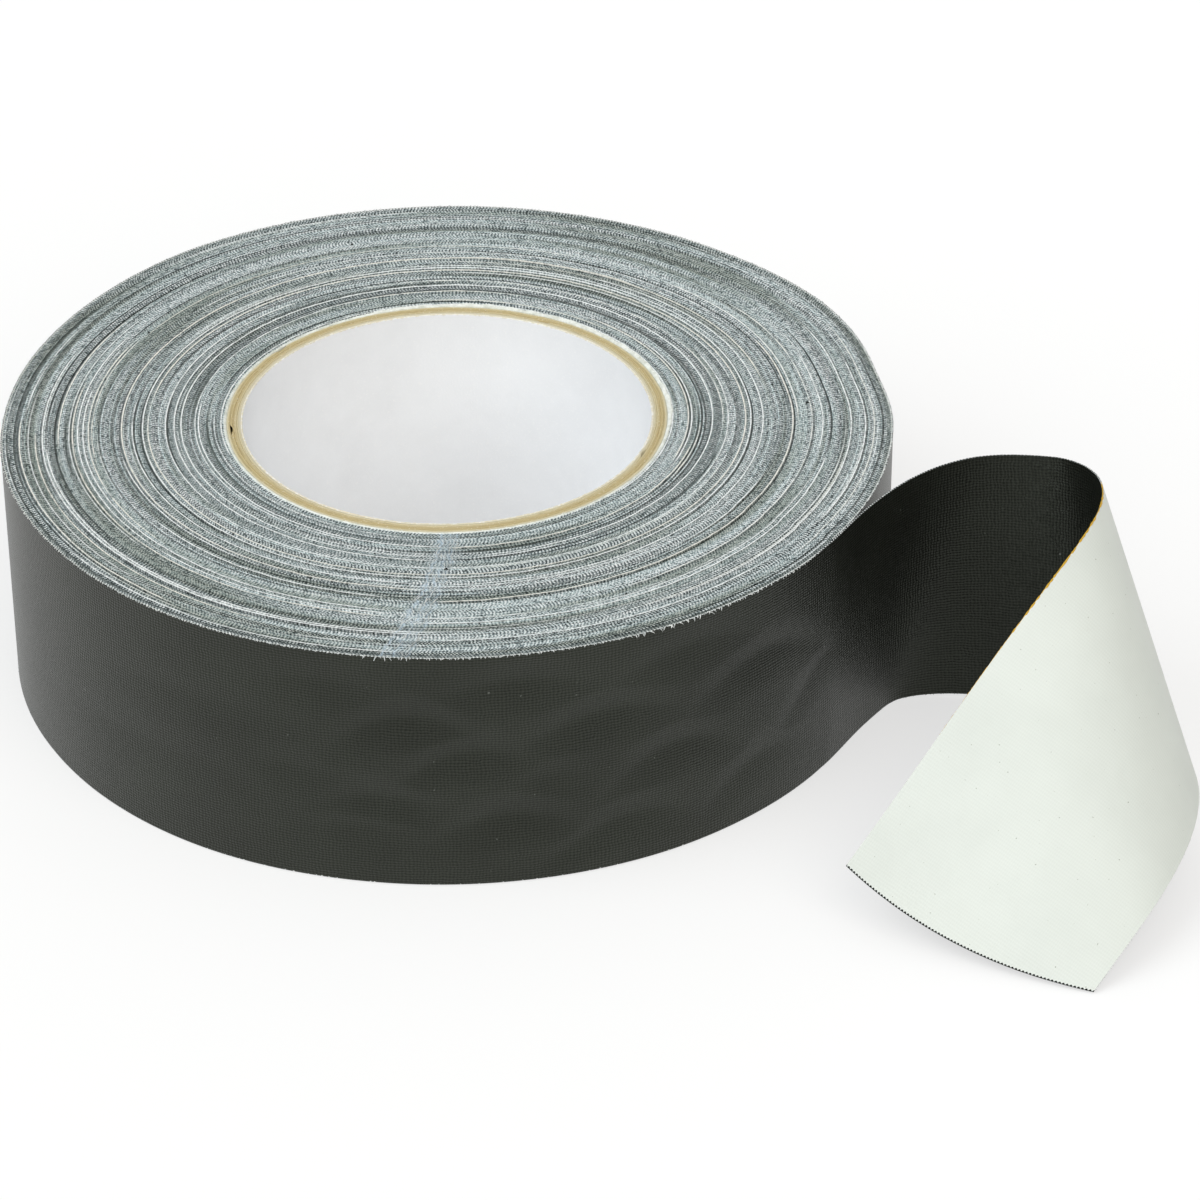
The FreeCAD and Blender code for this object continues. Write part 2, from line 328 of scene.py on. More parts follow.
# Loose cotton fibre teased out by the knife: matt and almost white.
fuzz, shader, add = newMaterial("teasedCottonFibre", Roughness=0.95, IOR=1.53,
                                Specular_IOR_Level=0.1)
patch = add("TexNoise", add("TexCoord").outputs["Object"], Scale=900, Detail=1)
feed(shader.inputs["Base Color"],
     add("ValToRGB", patch, stops=[(0.35, "b9bfbf"), (0.65, "eef0ee")]))

# The web edges of all the turns side by side, slit by a round knife: grey from cotton
# yarn ends, rubber and the coat's thin black lines, speckled where yarns line up.
webEdges, shader, add = newMaterial("knifeSlitWebEdges", Roughness=0.75, IOR=1.5,
                                    Specular_IOR_Level=0.2)
position = add("TexCoord").outputs["Object"]
axes = add("SeparateXYZ", position).outputs
place = add("SeparateXYZ", add("UVMap", uv_map="web")).outputs
turnNumber = add("Math", place["Y"], operation="FLOOR")
depth = add("Math", place["Y"], operation="FRACT")
turnChance = add("TexWhiteNoise", turnNumber, noise_dimensions="1D")
# yarn ends along each turn, drifting in pitch as woven cloth does
drift = add("TexNoise", place["X"], noise_dimensions="1D", Scale=0.12, Detail=2)
counted = add("Math", place["X"], 1 / yarn["weft"], drift, operation="MULTIPLY_ADD")
phase = add("Math", counted, 0.5, operation="PINGPONG")
yarnEnd = add("MapRange", phase, 0.1, 0.4, interpolation_type="SMOOTHSTEP")
yarnNumber = add("Math", counted, operation="ROUND")
yarnChance = add("TexWhiteNoise", add("CombineXYZ", yarnNumber, turnNumber),
                 noise_dimensions="2D")
frayed = add("MapRange", yarnChance, 0, 1, 0.2, 1)
yarnShown = add("Math", yarnEnd, frayed, operation="MULTIPLY")
gapTone = add("Mix", turnChance, "242b2d", "9ba6a8")
endTone = add("Mix", yarnShown, gapTone, "fbffff")
coatLine = add("MapRange", depth, 0.74, 0.8, 0, 0.6)
layerTone = add("Mix", coatLine, endTone, "20262a")
# a frame that follows the rings: way round the roll, and distance from its axis in m
level = add("VectorMath", position, (1, 1, 0), operation="MULTIPLY")
reach = add("VectorMath", level, operation="LENGTH")
roundWay = add("VectorMath", level, operation="NORMALIZE")


def ringNoise(perTurn, perMetre, **settings):
    # noise stretched along the rings: cells for each radian round, and for each metre outward
    spread = add("VectorMath", roundWay, (perTurn, perTurn, 0), operation="MULTIPLY")
    lifted = add("CombineXYZ", Z=add("Math", reach, perMetre, operation="MULTIPLY"))
    place = add("VectorMath", spread, lifted, operation="ADD")
    return add("TexNoise", place, Scale=1, **settings)


# lint and crumbs of rubber that the knife dragged round, each about 0.6 by 0.35 mm
lint = ringNoise(100, 2900, Detail=3, Roughness=0.75)
lintTone = add("ValToRGB", lint, stops=[(0.38, "4d5253"), (0.5, "d6dbdc"), (0.58, "ffffff")])
linty = add("Mix", 1, layerTone, lintTone, blend_type="OVERLAY")
# bands of several turns, some cool and some warm
broad = ringNoise(0.9, 420, Detail=3)
broadTone = add("ValToRGB", broad, stops=[(0.36, "c2c6bf"), (0.5, "f3f7f7"), (0.62, "ffffff")])
clouded = add("Mix", 1, linty, broadTone, blend_type="MULTIPLY")
# proud turns are bared to cotton or to rubber, low ones are in the shade of their neighbours
lift = add("Attribute", attribute_name="lift").outputs["Fac"]
proud = add("MapRange", lift, 0.12, 0.6)
bared = add("MapRange", depth, 0.75, 0.95, 1, 0.2)
patchy = add("MapRange", lint, 0.38, 0.55, 0.5, 1)
proudShare = add("Math", proud, bared, operation="MULTIPLY")
proudShare = add("Math", proudShare, patchy, operation="MULTIPLY")
baredTone = add("ValToRGB", turnChance, stops=[(0.55, "fbffff"), (0.7, "f4f2ea")])
proudTone = add("Mix", proudShare, clouded, baredTone)
sunk = add("MapRange", lift, -0.08, -0.5, 0, 0.72)
sunkTone = add("Mix", sunk, proudTone, "363d3a")

# Streaks of rubber drawn across the front of the turns where the roll was rubbed.
rubbing = {
    # where each starts at the core and ends at the rim, how far it bows, half width, strength
    "streaks": [(0.4, -10.4, 7.0, 0.5, 0.7), (1.6, -7.8, 6.5, 0.4, 0.65),
                (2.8, -5.4, 5.0, 0.35, 0.5), (1.4, -8.0, 7.0, 3.0, 0.22)],
    "core": -41.4,        # how far forward they start, and end
    "rim": -82.6,
    "front": -40.5,       # there are none behind this
    "ragged": 1.6,        # how far their sides wander
}
outward = add("MapRange", axes["Y"], rubbing["core"] * mm, rubbing["rim"] * mm)
ragged = add("TexNoise", position, Scale=420, Detail=3)
wander = add("MapRange", ragged, 0, 1, -rubbing["ragged"] * mm, rubbing["ragged"] * mm)
aside = add("Math", axes["X"], wander, operation="ADD")
shares = []
for start, end, bow, wide, strength in rubbing["streaks"]:
    # start + outward * (end - start + bow - bow * outward)
    slope = add("Math", outward, -bow * mm, (end - start + bow) * mm, operation="MULTIPLY_ADD")
    line = add("Math", outward, slope, start * mm, operation="MULTIPLY_ADD")
    away = add("Math", add("Math", aside, line, operation="SUBTRACT"), operation="ABSOLUTE")
    shares.append(add("MapRange", away, 0, wide * mm, strength, 0))
    if len(shares) > 1:
        shares = [add("Math", *shares, operation="MAXIMUM")]
front = add("Math", axes["Y"], rubbing["front"] * mm, operation="LESS_THAN")
rubShare = add("Math", shares[0], front, operation="MULTIPLY")
rubShare = add("Math", rubShare, patchy, operation="MULTIPLY")
rubTone = add("Mix", rubShare, sunkTone, "c3d6e6")
relief = add("Math", yarnShown, lint, operation="ADD")
finishSurface(add, shader, rubTone, relief, 0.14, 0.7)


def paperSurface(name, pale, dark, fibre, grain, roughness):
    # paper or board: matt, clouded at the scale of its fibre flocs, its fibres felt as grain
    material, shader, add = newMaterial(name, Roughness=roughness, IOR=1.5,
                                        Specular_IOR_Level=0.15)
    position = add("TexCoord").outputs["Object"]
    floc = add("TexNoise", position, Scale=grain, Detail=5, Roughness=0.65)
    flocTone = add("ValToRGB", floc, stops=[(0.32, dark), (0.6, pale)])
    strand = add("TexNoise", position, Scale=2600, Detail=2)
    fibrous = add("Mix", add("MapRange", strand, 0.58, 0.72, 0, 0.6), flocTone, fibre)
    finishSurface(add, shader, fibrous, strand, 0.06, 0.5)
    return material, shader, add, position, fibrous


# Bleached liner paper, machine glazed: smooth white with faint cool clouds. Its knife-cut
# rim is rubbed with board dust: clean below the first height here, straw by the second.
rimDust = {"clean": 48.1, "straw": 48.35, "ragged": 0.6}
linerPaper, shader, add, position, fibrous = paperSurface("glazedLinerPaper", "f8f9fb", "f3f4f6",
                                                          "fdfdfd", 55, 0.7)
dusting = add("TexNoise", position, Scale=1500, Detail=3)
height = add("SeparateXYZ", position).outputs["Z"]
swayed = add("Math", dusting, rimDust["ragged"] * mm, height, operation="MULTIPLY_ADD")
rimShare = add("MapRange", swayed, rimDust["clean"] * mm, rimDust["straw"] * mm, 0, 0.85)
feed(shader.inputs["Base Color"], add("Mix", rimShare, fibrous, "ddd3b6"))
# Bleached facing paper, torn to fibre along its cut.
facingPaper = paperSurface("tornFacingPaper", "eef1ec", "cfd3c9", "fafaf7", 700, 0.9)[0]

# Kraft tube board, spiral wound with glue and knife cut: straw brown, darkest in the middle
# of the wall, its layers showing as fine rings.
boardWall = {"inside": 38.75, "outside": 41.4, "ragged": 0.6}
kraftBoard, shader, add = newMaterial("spiralWoundKraft", Roughness=0.85, IOR=1.5,
                                      Specular_IOR_Level=0.15)
position = add("TexCoord").outputs["Object"]
level = add("VectorMath", position, (1, 1, 0), operation="MULTIPLY")
reach = add("VectorMath", level, operation="LENGTH")
floc = add("TexNoise", position, Scale=260, Detail=4, Roughness=0.6)
swayed = add("Math", floc, boardWall["ragged"] * mm, reach, operation="MULTIPLY_ADD")
depth = add("MapRange", swayed, boardWall["inside"] * mm, boardWall["outside"] * mm)
wallTone = add("ValToRGB", depth, stops=[(0.0, "dbd5bf"), (0.22, "d0c4a0"), (0.55, "c2b083"),
                                         (0.8, "c8b98f"), (1.0, "dcd6bd")])
# rings about 0.15 mm apart, from the fibres lying round the tube
rings = add("TexNoise", swayed, noise_dimensions="1D", Scale=6500, Detail=2)
ringShade = add("MapRange", rings, 0.3, 0.7, 0.74, 1.1)
ringed = add("Mix", 1, wallTone, ringShade, blend_type="MULTIPLY")
fibre = add("TexNoise", position, Scale=2600, Detail=2)
fibrous = add("Mix", add("MapRange", fibre, 0.6, 0.72, 0, 0.5), ringed, "ece6d0")
relief = add("Math", fibre, rings, operation="ADD")
finishSurface(add, shader, fibrous, relief, 0.06, 0.5)
print("materials")


roll = {
    "height": 48.0,
    "coreRadius": 41.6,
    "woundRadius": 82.0,
    "web": 0.32,          # the web's thickness
    "turns": 126,
    "peel": -32.0,        # azimuth at which the tail leaves the roll
    # how far the rim stands off a true spiral, every 10 degrees round from +X
    "outOfRound": [0.65, -0.05, 0.6, 1.0, 0.45, -0.2, -0.3, -0.35, -0.27, -0.12, -0.05, 0.17,
                   0.37, 0.6, 0.32, 0.07, 0.0, 0.05, 0.13, 0.4, 0.45, 0.33, 0.3, 0.2,
                   0.05, -0.2, -0.4, -0.4, -0.35, -0.2, 0.0, 0.1, 0.3, 0.4, 0.6, 0.65],
}


def offRound(azimuth):
    # the table above, drawn through by a smooth closed curve
    table = np.array(roll["outOfRound"])
    place = (np.asarray(azimuth, float) % 360) / 10
    at = np.floor(place).astype(int)
    share = place - at
    before, start, end, after = (table[(at + step) % len(table)] for step in (-1, 0, 1, 2))
    return 0.5 * (2 * start + (end - before) * share
                  + (2 * before - 5 * start + 4 * end - after) * share ** 2
                  + (3 * start - before - 3 * end + after) * share ** 3)


def packRadius(azimuth):
    # outer radius of the turns under the last one; it grows by one web in a full turn
    share = ((np.asarray(azimuth, float) - roll["peel"]) % 360) / 360
    swing = np.cos(2 * math.pi * share) / 4
    spiral = np.where(share < 0.5, 0.25 - swing, 0.75 + swing)
    return roll["woundRadius"] + roll["web"] * spiral + offRound(azimuth)


def roundPoints(radius, azimuth, z):
    angle = np.radians(azimuth)
    radius, angle, z = np.broadcast_arrays(radius, angle, z)
    return np.stack([radius * np.cos(angle), radius * np.sin(angle), z], -1)


pack = {
    "seed": 7,
    "columns": 260,
    "edge": (0.06, 0.94),     # where a turn's own edge starts and ends, in turns
    "roughness": 0.03,        # how unevenly neighbouring turns lie
    "stretches": 260,         # stretches of a turn that stand or lie off their neighbours
    "unevenness": 0.09,
    "undersideTurns": 63,
    "undersideShare": 0.6,    # how uneven the underside is, against the top
    "fullLift": 0.3,          # a rise that counts as 1 in the material
    "setIn": 1.05,
    "rim": 1.0,               # height of the outer edge that is not set in
    # Turns that were wound a little high: turn counted from the core, arc from, arc to, rise.
    # Their bared cotton and squeezed-out rubber are the light rings.
    "proud": [
        (1, -40, 200, 0.20), (5, 180, 262, 0.24), (8, 170, 258, 0.14), (10, -20, 54, 0.22),
        (12, -20, 35, 0.20), (14, 175, 270, 0.30), (15, 272, 345, 0.22), (16, 120, 250, 0.24),
        (17, -28, 125, 0.24), (20, 200, 262, 0.14), (24, -90, 270, 0.30), (26, 130, 200, 0.16),
        (28, 150, 268, 0.26), (30, -25, 110, 0.22), (33, 125, 217, 0.26), (33, -30, 25, 0.24),
        (36, 220, 333, 0.20), (43, -150, 210, 0.27), (46, -90, 270, 0.25), (49, 30, 100, 0.12),
        (52, 175, 265, 0.24), (53, -88, 62, 0.20), (58, 55, 265, 0.30), (60, 195, 260, 0.24),
        (63, 295, 338, 0.28), (66, 37, 140, 0.14), (67, 217, 260, 0.24), (70, 271, 385, 0.32),
        (73, 0, 50, 0.24), (75, 155, 195, 0.18), (77, 155, 220, 0.17), (80, 155, 262, 0.28),
        (81, -60, 38, 0.22), (83, 155, 262, 0.28), (86, 170, 262, 0.22), (87, 266, 378, 0.22),
        (92, 265, 347, 0.30), (94, 150, 188, 0.22), (98, 118, 140, 0.16), (101, 190, 270, 0.28),
        (103, 162, 268, 0.28), (103, -60, 25, 0.14), (107, 185, 245, 0.20), (109, 271, 318, 0.26),
        (111, -28, 15, 0.22), (114, 155, 180, 0.18), (114, 250, 270, 0.24), (116, 182, 233, 0.26),
        (119, 95, 135, 0.16), (121, 215, 265, 0.22), (124, 170, 205, 0.16), (123, 300, 330, 0.16),
    ],
    # Bands of turns that lie low: middle turn, arc from, arc to, depth, half width in turns
    "sunk": [
        (9, 180, 268, 0.12, 4), (3, 20, 330, 0.05, 2), (20, -30, 180, 0.08, 3),
        (20, 270, 330, 0.10, 2.5), (27, 95, 150, 0.10, 2), (31, 150, 268, 0.07, 1.5),
        (39, -30, 160, 0.07, 2), (49, 150, 260, 0.09, 2), (55, 135, 190, 0.10, 2),
        (62, 150, 265, 0.05, 2.5), (72, 160, 250, 0.05, 2), (89, 120, 268, 0.06, 2.5),
        (98, 60, 130, 0.06, 2), (105, 180, 262, 0.05, 1.5), (112, 80, 180, 0.05, 2),
        (124, 210, 330, 0.04, 1.5),
    ],
    # how softly each of these ends round the roll, in degrees
    "fade": {"stretch": 12, "sunk": 25, "proud": 6},
}


def arcShare(azimuth, start, end, fade):
    # 1 inside an arc, 0 outside it, with soft ends
    middle, reach = (start + end) / 2, (end - start) / 2
    away = np.abs((azimuth - middle + 180) % 360 - 180)
    return 1 - smoothStep(reach - fade / 2, reach + fade / 2, away)


def turnHeights(chance, turns, azimuth):
    # height of each turn's edge all round, before it is set on the top or bottom face
    scale = roll["turns"] / turns
    heights = chance.normal(0, pack["roughness"], (turns, 1)) + np.zeros((1, len(azimuth)))
    for stretch in range(pack["stretches"]):
        start = chance.uniform(0, 360)
        span = arcShare(azimuth, start, start + chance.uniform(15, 90), pack["fade"]["stretch"])
        heights[chance.integers(0, turns)] += chance.normal(0, pack["unevenness"]) * span
    place = np.arange(turns) * scale
    for middle, start, end, deep, wide in pack["sunk"]:
        band = np.exp(-((place - middle) / wide) ** 2)
        arc = arcShare(azimuth, start, end, pack["fade"]["sunk"])
        heights -= deep * band[:, None] * arc[None]
    for at, start, end, rise in pack["proud"]:
        # beads of lint along the turn, a few degrees apart
        beads = 0.8 + 0.12 * np.sin(np.radians(azimuth) * chance.integers(11, 40) + at)
        beads = beads + chance.normal(0, 0.1, len(azimuth))
        arc = arcShare(azimuth, start, end, pack["fade"]["proud"])
        turn = min(int(at / scale), turns - 1)
        heights[turn] += rise * arc * beads
        heights[min(turn + 1, turns - 1)] -= 0.25 * rise * arc
    return heights


packAzimuth = roll["peel"] + (np.arange(pack["columns"]) + 0.5) * 360 / pack["columns"]


def packFace(turns, top, seed):
    # rows of points from the core outward, two for each turn, and each row's place in turns
    chance = np.random.default_rng(seed)
    outer = packRadius(packAzimuth)
    heights = turnHeights(chance, turns, packAzimuth)
    if not top:
        heights = -np.abs(heights) * pack["undersideShare"]
    rows, places, lifts = [], [], []
    for turn in range(turns):
        for side in pack["edge"]:
            share = (turn + side) / turns
            lean = offRound(packAzimuth) * (share ** 2 - share)
            radius = roll["coreRadius"] + (outer - roll["coreRadius"]) * share + lean
            z = roll["height"] + heights[turn] if top else -heights[turn]
            rows.append(roundPoints(radius, packAzimuth, z))
            places.append((turn + side) * roll["turns"] / turns)
            lifts.append(heights[turn] / pack["fullLift"])
    return np.array(rows), np.array(places), np.array(lifts)


def runningLength(turn):
    # mm of web wound from the core to this many turns
    return 2 * math.pi * (roll["coreRadius"] * turn + roll["web"] * turn ** 2 / 2)


def makePack():
    columns = pack["columns"]
    top, topPlaces, topLifts = packFace(roll["turns"], True, pack["seed"])
    under, underPlaces, underLifts = packFace(pack["undersideTurns"], False, pack["seed"] + 1)
    # out over the top, down the wall, in under the bottom and back up the bore; the wall
    # is set in a little, to leave room for the dimples in the last turn
    wall = np.array([roundPoints(packRadius(packAzimuth) - pack["setIn"], packAzimuth, z)
                     for z in (roll["height"] - pack["rim"], pack["rim"])])
    points = np.concatenate([top, wall, under[::-1]])
    places = np.concatenate([topPlaces, [roll["turns"] - 0.05] * 2, underPlaces[::-1]])
    lifts = np.concatenate([topLifts, np.zeros((2, columns)), underLifts[::-1]])
    rows = len(points)
    quads = gridFaces(rows, columns, joinRows=True, joinColumns=True)[:, ::-1]
    # each face takes the running length of the turn that its inner row lies on
    after = np.append(places[1:], places[:1])
    base = np.floor(places + 0.001)
    length = runningLength(base[:, None] + np.arange(columns + 1)[None] / columns)
    uv = np.empty((rows, columns, 4, 2))
    corners = ((places, 0), (places, 1), (after, 1), (after, 0))
    for corner, (place, shift) in enumerate(corners):
        uv[:, :, corner, 0] = length[:, shift:columns + shift]
        uv[:, :, corner, 1] = place[:, None]
    piece = makeMesh("woundTurns", points.reshape(-1, 3), quads, [webEdges], smooth=False,
                     uv=uv[:, :, ::-1].reshape(-1, 2))
    attribute = piece.data.attributes.new("lift", "FLOAT", "POINT")
    attribute.data.foreach_set("value", lifts.ravel().astype(np.float32))
    return closeShell(piece)


packPiece = makePack()
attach(packPiece, "roll")
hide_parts("wound_turns")
print("wound turns")


web = {
    "layers": (0.10, 0.14, 0.08),   # adhesive, cloth, coat
    "width": 48.0,
    "bondedEnd": 6.0,     # how much of the web's bonded end belongs to the tail's mesh
    "columns": 640,
    "rows": 72,
    "hiddenRows": 26,
}

# Lens-shaped dimples where the last turn lies loose on the roll: azimuth and height of each
# one's crease, reach to each side, sag of its ends, fall from left to right, depth
dimples = [
    (-94, 35.5, 12.0, 5.0, 1.0, 0.95), (-87, 28.0, 11.0, 4.0, 2.5, 0.92),
    (-97, 18.5, 9.0, 1.5, 0.0, 0.78), (-81, 14.5, 12.0, 4.0, 0.0, 0.90),
    (-69.5, 33.5, 13.0, 3.5, 1.0, 0.92), (-80, 42.5, 12.0, 2.0, 0.0, 0.72),
    (-59, 22.8, 12.0, 5.0, 0.0, 0.75), (-67, 10.0, 13.0, 4.5, 2.0, 0.70),
    (-46, 34.5, 15.0, 5.5, 0.0, 0.62), (-46, 12.5, 12.0, 5.0, 0.5, 0.55),
    (-58, 42.5, 13.0, 3.0, 0.5, 0.55), (-76, 22.0, 6.0, 1.0, 0.0, 0.40),
    (-36, 23.0, 10.0, 3.0, 5.0, 0.40), (-108, 23.0, 8.0, 1.0, 0.0, 0.30),
    (-104, 42.0, 10.0, 1.0, 0.0, 0.34), (-100, 12.0, 10.0, 1.5, 0.0, 0.34),
    (-122, 33.0, 20.0, 1.0, 1.0, 0.16), (-130, 19.0, 24.0, 1.0, 1.0, 0.16),
]
dimpleEdge = {
    "above": 5.2,         # how far from a crease the web is back in place
    "below": 7.0,
    "crease": 0.12,       # how round the crease is
    "slitEdges": (5, 3),  # how near the lower and the upper slit edge it starts to fade out
}


def wallDip(azimuth, z):
    # how far the last turn is pressed in, in mm
    azimuth, z = np.broadcast_arrays(np.asarray(azimuth, float), np.asarray(z, float))
    dip = np.zeros(azimuth.shape)
    for place, height, reach, sag, slant, deep in dimples:
        x = ((azimuth - place + 180) % 360 - 180) * math.radians(roll["woundRadius"]) / reach
        y = z - height + sag * x ** 2 - slant * x
        width = np.where(y > 0, dimpleEdge["above"], dimpleEdge["below"])
        fall = np.hypot(y / width, dimpleEdge["crease"]) - dimpleEdge["crease"]
        dip = np.maximum(dip, deep * np.exp(-x ** 2 * 1.2) * np.clip(1 - fall, 0, 1) ** 1.5)
    low, high = dimpleEdge["slitEdges"]
    return dip * smoothStep(0, low, z) * smoothStep(0, high, roll["height"] - z)


def makeLastTurn():
    start = roll["peel"]
    end = roll["peel"] + 360 - math.degrees(web["bondedEnd"] / roll["woundRadius"])
    azimuth = closeEnds(np.linspace(start + 0.02, end, web["columns"]))
    radius = packRadius(azimuth)
    gumFace, clothInner, clothOuter, coatFace = np.cumsum((0,) + web["layers"])
    top = roll["height"]
    # rows of the outline, and what lies between each and the next: 0 coat, 1 adhesive, 2 cloth
    levels = closeEnds(np.linspace(0, top, web["rows"]))
    outline = [(coatFace, z, 0) for z in levels]
    outline += [(clothOuter, top, 2), (clothInner, top, 1), (gumFace, top, 1)]
    outline += [(gumFace, z, 1) for z in np.linspace(top, 0, web["hiddenRows"])[1:-1]]
    outline += [(gumFace, 0, 1), (clothInner, 0, 2), (clothOuter, 0, 0)]
    points = np.array([roundPoints(radius + face - wallDip(azimuth, z), azimuth, z)
                       for face, z, kind in outline])
    rows, columns = points.shape[:2]
    # mm along and across the web, with the first row again after the last
    length = np.radians(azimuth - end) * roll["woundRadius"] - web["bondedEnd"]
    across = [z for face, z, kind in outline] + [0]
    flatPlaces = np.stack(np.meshgrid(length, across), -1).reshape(-1, 2)
    piece = makeMesh("lastTurn", points.reshape(-1, 3), gridFaces(rows, columns, joinRows=True),
                     [blackCoat, adhesive, slitCloth],
                     faceMaterial=np.repeat([kind for face, z, kind in outline], columns - 1),
                     smooth=np.repeat(np.arange(rows) < len(levels) - 1, columns - 1),
                     uv=flatPlaces[gridFaces(rows + 1, columns).ravel()])
    return closeShell(piece)


lastTurn = makeLastTurn()
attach(lastTurn, "roll")
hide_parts("last_turn_adhesive", "last_turn_cloth", "last_turn_coat")
print("last turn")


tail = {
    "length": 160.5,
    "lift": 0.1,
    "clearance": 0.1,
    "parting": 4,         # over this length before the hinge it comes clear of the roll
    "cutSlant": 7.4,
    "cutBow": 3.4,
    "bendStep": 16.0,
    # turn in degrees over one bendStep, lean of the bend line in degrees
    "bends": [(0, 0), (-7.2, 8), (-60.8, -15), (-19.2, -13), (-36, 15.5), (-28, 26.5),
              (-21.6, 35.5), (-23.2, 44), (-15.2, 42.5), (-6.4, 39), (5.6, 25.5)],
    "walk": 0.25,         # step along its middle line, and how far past its end that goes
    "walkPast": 22,
    "rows": 168,
    "pinkDepth": 0.24,
    "coatPast": 0.2,      # how far the coat reaches past the cut yarns
    "gumShort": 0.05,     # how far the rubber stops short of them
    "settle": 14.0,       # over this much of its length the tail leaves the roll's uneven rim
    "aged": (72.0, 122.0),    # between these rubber has oozed along the upper slit edge
    "slack": 6,           # what the slanting cut adds to the web's longest side
}


def walkTail():
    # middle point, bend line and outward normal at close steps along the web's middle line
    peel = math.radians(roll["peel"])
    outward = np.array([math.cos(peel), math.sin(peel), 0])
    along = np.array([-outward[1], outward[0], 0])
    across = np.array([0.0, 0, 1])
    radius = roll["woundRadius"] + 1.5 * roll["web"] + tail["clearance"]
    middle = outward * radius + across * (web["width"] / 2 + tail["lift"])
    stops = np.arange(len(tail["bends"])) * tail["bendStep"]
    turns, leans = zip(*tail["bends"])
    step = tail["walk"]
    places, rows = [], []
    walked = 0
    place = step / 2
    while place < tail["length"] + tail["walkPast"]:
        middle = middle + along * (place - walked)
        walked = place
        slope = math.tan(math.radians(np.interp(place, stops, leans)))
        bendLine = across - along * slope
        long = np.linalg.norm(bendLine)
        axis = bendLine / long
        angle = math.radians(np.interp(place, stops, turns) * step / tail["bendStep"] * long)
        places.append(place)
        rows.append(np.concatenate([middle, bendLine, outward, [slope]]))

        def turned(vector):
            return (vector * math.cos(angle) + np.cross(axis, vector) * math.sin(angle)
                    + axis * np.dot(axis, vector) * (1 - math.cos(angle)))

        along, across, outward = turned(along), turned(across), turned(outward)
        place += step
    return np.array(places), np.array(rows)


walkPlaces, walkRows = walkTail()


def tailPoint(length, side, offset):
    # flat place on the tail (mm along, mm across, mm outward of its middle surface) to space
    shape = np.broadcast(length, side, offset).shape
    length, side, offset = (np.broadcast_to(v, shape).astype(float).ravel()
                            for v in (length, side, offset))
    out = np.empty((length.size, 3))
    # the last turn's dimples run out into the tail
    azimuth = roll["peel"] + np.degrees(length / roll["woundRadius"])
    held = 1 - smoothStep(0, tail["settle"], length)
    offset = offset - wallDip(azimuth, web["width"] / 2 + side) * held
    for value in np.unique(side):
        chosen = side == value
        # the bend line that passes through the flat place
        reach = walkPlaces - value * walkRows[:, 9]
        at = np.interp(length[chosen], reach, walkPlaces)
        row = np.stack([np.interp(at, walkPlaces, walkRows[:, k]) for k in range(9)], -1)
        normal = row[:, 6:9] / np.linalg.norm(row[:, 6:9], axis=1, keepdims=True)
        out[chosen] = row[:, 0:3] + value * row[:, 3:6] + normal * offset[chosen, None]
    # next to the roll the web follows its rim
    rimRadius = (packRadius(roll["peel"] - 0.01) - offRound(roll["peel"])
                 + offRound(np.minimum(azimuth, roll["peel"]))
                 + roll["web"] / 2
                 + tail["clearance"] * smoothStep(-tail["parting"], 0, length) + offset)
    rimHeight = (web["width"] / 2 + tail["lift"] * smoothStep(-web["bondedEnd"], 0, length)
                 + side)
    bonded = length < 0
    out[bonded] = roundPoints(rimRadius, azimuth, rimHeight)[bonded]
    peel = math.radians(roll["peel"])
    loose = ~bonded
    fade = held[loose] * float(offRound(roll["peel"]))
    out[loose] += fade[:, None] * np.array([math.cos(peel), math.sin(peel), 0])
    return out.reshape(shape + (3,))


def cutLength(side, pinked):
    # where the slanting, bowed cut ends the web at this place across it
    share = side / (web["width"] / 2)
    slant = math.tan(math.radians(tail["cutSlant"])) * side
    return tail["length"] + slant + tail["cutBow"] * (1 - share ** 2) + pinked


